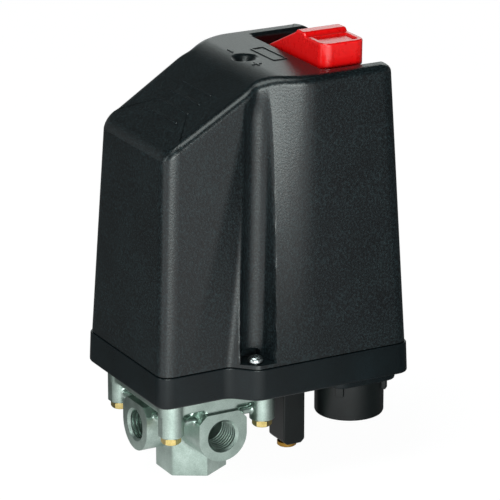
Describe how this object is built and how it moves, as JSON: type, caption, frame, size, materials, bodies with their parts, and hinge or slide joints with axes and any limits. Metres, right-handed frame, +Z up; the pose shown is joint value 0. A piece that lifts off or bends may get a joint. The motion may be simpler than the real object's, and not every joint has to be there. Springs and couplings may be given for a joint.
{
  "type": "pressure switch",
  "caption": "Air-compressor pressure switch: tall sloped hood with a red on/off rocker, base tray with cable glands, die-cast port flange and an unloader valve.",
  "frame": {"origin": "centre of the tank port's bottom face, on the hexagon of the flange casting", "axes": "+Z up along the tank port's axis towards the hood, +X from the tank port towards the cable glands, +Y across the switch"},
  "size_m": [0.1088, 0.0856, 0.1783],
  "materials": {
    "hood_plastic": "black glass-filled polyamide, spark-eroded grain",
    "tray_plastic": "black polyamide, finer grain",
    "black_plastic": "black polyamide",
    "red_plastic": "glossy red moulding",
    "grey_plastic": "grey polyamide",
    "cast_aluminium": "die-cast, satin",
    "yellow_zinc": "yellow passivated zinc on steel",
    "bright_zinc": "bright zinc on steel",
    "brass": "turned",
    "copper": "stamped copper strip",
    "rubber": "moulded nitrile rubber",
    "spring_steel": "drawn wire"
  },
  "bodies": {
    "housing": {"base_tray": "tray_plastic", "chassis_frame": "bright_zinc", "contact_block": "black_plastic", "diaphragm": "rubber", "earth_screw": "yellow_zinc", "fixed_contact_line_1": "brass", "fixed_contact_line_2": "brass", "fixed_contact_line_3": "brass", "fixed_contact_load_1": "brass", "fixed_contact_load_2": "brass", "fixed_contact_load_3": "brass", "flange_bolt_1": "yellow_zinc", "flange_bolt_2": "yellow_zinc", "flange_bolt_3": "yellow_zinc", "flange_bolt_4": "yellow_zinc", "flange_casting": "cast_aluminium", "gland_body_back": "black_plastic", "gland_body_front": "black_plastic", "gland_locknut_back": "black_plastic", "gland_locknut_front": "black_plastic", "gland_retainer_back": "black_plastic", "gland_retainer_front": "black_plastic", "gland_seal_back": "rubber", "gland_seal_front": "rubber", "hood": "hood_plastic", "hood_screw_back": "bright_zinc", "hood_screw_front": "bright_zinc", "lever_pivot_pin": "spring_steel", "rocker_bracket": "black_plastic", "rocker_pin": "spring_steel", "terminal_screw_line_1": "bright_zinc", "terminal_screw_line_2": "bright_zinc", "terminal_screw_line_3": "bright_zinc", "terminal_screw_load_1": "bright_zinc", "terminal_screw_load_2": "bright_zinc", "terminal_screw_load_3": "bright_zinc", "unloader_body": "black_plastic", "unloader_nipple": "brass"},
    "rocker": {"rocker_button": "red_plastic"},
    "off_link": {"off_link": "bright_zinc"},
    "lever": {"main_lever": "bright_zinc"},
    "piston": {"diaphragm_piston": "grey_plastic"},
    "carrier": {"contact_carrier": "grey_plastic", "contact_bridge_1": "copper", "contact_bridge_2": "copper", "contact_bridge_3": "copper", "contact_spring_1": "spring_steel", "contact_spring_2": "spring_steel", "contact_spring_3": "spring_steel"},
    "unloader_pin": {"unloader_stem": "brass"},
    "adjuster": {"adjusting_screw": "bright_zinc"},
    "spring_seat": {"spring_seat_nut": "yellow_zinc", "main_spring": "spring_steel"}
  },
  "joints": [
    {"name": "rocker_tilt", "type": "hinge", "parent": "housing", "child": "rocker", "pos_m": [0.05455, 0, 0.1651], "axis": [1, 0, 0], "range_deg": [0, 14]},
    {"name": "off_link_slide", "type": "slide", "parent": "housing", "child": "off_link", "axis": [0, 0, 1], "range_m": [0, 0.00415]},
    {"name": "lever_tilt", "type": "hinge", "parent": "housing", "child": "lever", "pos_m": [-0.018, 0, 0.06], "axis": [0, -1, 0], "range_deg": [0, 2.5], "stiffness_Nm_per_rad": 0.5, "springref_deg": -2.86},
    {"name": "piston_slide", "type": "slide", "parent": "housing", "child": "piston", "axis": [0, 0, 1], "range_m": [0, 0.00085]},
    {"name": "carrier_slide", "type": "slide", "parent": "housing", "child": "carrier", "axis": [0, 0, 1], "range_m": [0, 0.0034]},
    {"name": "unloader_slide", "type": "slide", "parent": "housing", "child": "unloader_pin", "axis": [0, 0, 1], "range_m": [0, 0.0027]},
    {"name": "adjuster_turn", "type": "hinge", "parent": "housing", "child": "adjuster", "pos_m": [0.0243, 0, 0.15], "axis": [0, 0, 1], "range_deg": [-1082, 1082]},
    {"name": "seat_slide", "type": "slide", "parent": "housing", "child": "spring_seat", "axis": [0, 0, 1], "range_m": [-0.003, 0.003], "deforming": ["main_spring"]}
  ],
  "couplings": [
    {"joint": "rocker_tilt", "follows": "off_link_slide", "rad_per_m": 58.824},
    {"joint": "piston_slide", "follows": "lever_tilt", "m_per_rad": 0.018},
    {"joint": "carrier_slide", "follows": "lever_tilt", "m_per_rad": 0.072},
    {"joint": "unloader_slide", "follows": "lever_tilt", "m_per_rad": 0.0569},
    {"joint": "adjuster_turn", "follows": "seat_slide", "rad_per_m": 6283.2}
  ]
}
